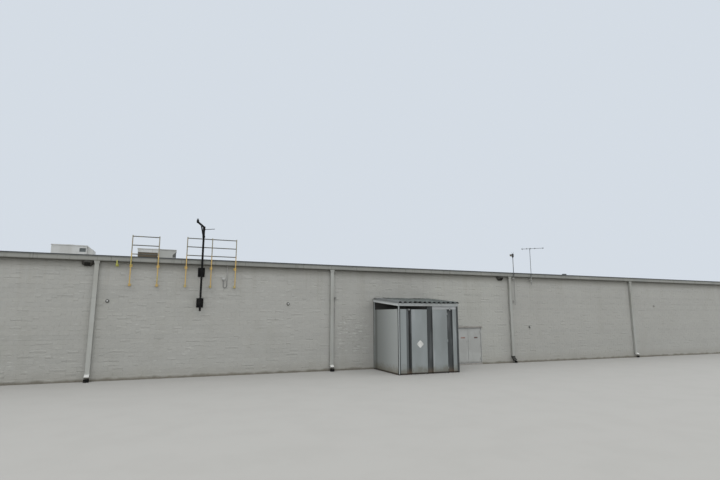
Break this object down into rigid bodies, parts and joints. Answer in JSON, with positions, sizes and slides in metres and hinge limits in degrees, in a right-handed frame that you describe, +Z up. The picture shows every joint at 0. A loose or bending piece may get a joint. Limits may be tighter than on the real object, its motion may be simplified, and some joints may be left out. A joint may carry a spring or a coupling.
{
  "type": "supermarket building, 1:2 scale model",
  "caption": "Long low block-walled hall with a gable metal roof, box gutters, a hinged exit door pair, a lean-to shed with hinged doors, guard rails and a swivelling roof hoist.",
  "frame": {"origin": "on the ground at the middle of the block walls' footprint", "axes": "+X along the service wall to the right as seen from outside it, +Y from the service wall towards the far wall, +Z up"},
  "size_m": [28.497, 18.8023, 3.7149],
  "materials": {
    "painted_block": "painted split-face concrete block, matt",
    "concrete": "troweled concrete floor",
    "roof_sheet": "coated standing-seam sheet",
    "roof_trim": "coated folded trim, dull",
    "gutter_sheet": "painted sheet gutter, weathered",
    "downspout_paint": "painted to match the wall",
    "drain_pipe": "black plastic drain pipe",
    "door_paint": "steel door painted to match the wall",
    "threshold_metal": "mill finish saddle",
    "push_bar_metal": "brushed push bar",
    "shed_post_paint": "white painted posts",
    "shed_sheet": "light blue-grey painted sheet",
    "shed_dark_steel": "dark steel channels",
    "shed_roofing": "weathered corrugated sheet",
    "shed_timber": "weathered framing timber",
    "safety_yellow": "yellow painted pipe, chalked",
    "hoist_black": "black painted steel",
    "light_bronze": "dark bronze luminaire",
    "pole_grey": "dark painted pole and cameras",
    "antenna_aluminium": "weathered antenna tube",
    "clamp_galvanised": "galvanised clamps",
    "cap_metal": "dull vent caps",
    "conduit_grey": "grey conduit and boxes",
    "unit_cabinet": "pale painted rooftop cabinet",
    "curb_galvanised": "galvanised curb",
    "vent_metal": "dark vent",
    "frame_steel": "primed structural steel"
  },
  "bodies": {
    "building": {"floor_slab": "concrete", "rear_wall_left": "painted_block", "rear_wall_right": "painted_block", "rear_wall_over_door": "painted_block", "front_wall": "painted_block", "end_wall_left": "painted_block", "end_wall_right": "painted_block", "roof_rear": "roof_sheet", "roof_front": "roof_sheet", "ridge_cap": "roof_trim", "rake_trims": "roof_trim", "roof_girders": "frame_steel", "steel_columns": "frame_steel", "rear_gutter": "gutter_sheet", "front_gutter": "gutter_sheet", "rear_downspouts": "downspout_paint", "front_downspouts": "downspout_paint", "drain_boots": "drain_pipe", "exit_door_jambs": "door_paint", "exit_door_head": "door_paint", "exit_door_threshold": "threshold_metal", "exit_door_drip_cap": "door_paint", "shed_posts": "shed_post_paint", "shed_side_panels": "shed_sheet", "shed_front_panels": "shed_sheet", "shed_door_jambs": "shed_dark_steel", "shed_head": "shed_sheet", "shed_framing": "shed_timber", "shed_roof": "shed_roofing", "shed_fascia": "shed_post_paint", "guard_rail_left": "safety_yellow", "guard_rail_right": "safety_yellow", "guard_rail_brackets": "safety_yellow", "hoist_brackets": "hoist_black", "rear_wall_lights": "light_bronze", "front_wall_lights": "light_bronze", "camera_pole": "pole_grey", "tv_antenna": "antenna_aluminium", "pole_clamps": "clamp_galvanised", "wall_caps": "cap_metal", "wall_conduits": "conduit_grey", "rooftop_unit_left": "unit_cabinet", "rooftop_unit_right": "unit_cabinet", "rooftop_curbs": "curb_galvanised", "roof_vent": "vent_metal"},
    "exit_left_leaf": {"exit_door_left": "door_paint", "exit_push_bar_left": "push_bar_metal"},
    "exit_right_leaf": {"exit_door_right": "door_paint", "exit_push_bar_right": "push_bar_metal"},
    "shed_left_leaf": {"shed_door_left": "shed_sheet"},
    "shed_right_leaf": {"shed_door_right": "shed_sheet"},
    "hoist_arm": {"hoist_mast": "hoist_black", "hoist_boom": "hoist_black"}
  },
  "joints": [
    {"name": "exit_left_hinge", "type": "hinge", "parent": "building", "child": "exit_left_leaf", "pos_m": [1.0465, -8.5473, 0.5665], "axis": [0, 0, -1], "range_deg": [0, 105]},
    {"name": "exit_right_hinge", "type": "hinge", "parent": "building", "child": "exit_right_leaf", "pos_m": [1.9685, -8.5473, 0.5665], "axis": [0, 0, 1], "range_deg": [0, 105]},
    {"name": "shed_left_hinge", "type": "hinge", "parent": "building", "child": "shed_left_leaf", "pos_m": [-1.2335, -10.0758, 0.8095], "axis": [0, 0, -1], "range_deg": [0, 105]},
    {"name": "shed_right_hinge", "type": "hinge", "parent": "building", "child": "shed_right_leaf", "pos_m": [-0.1815, -10.0758, 0.8095], "axis": [0, 0, 1], "range_deg": [0, 105]},
    {"name": "hoist_swivel", "type": "hinge", "parent": "building", "child": "hoist_arm", "pos_m": [-6.2445, -8.695, 2.5], "axis": [0, 0, 1], "range_deg": [-160, 160]}
  ]
}
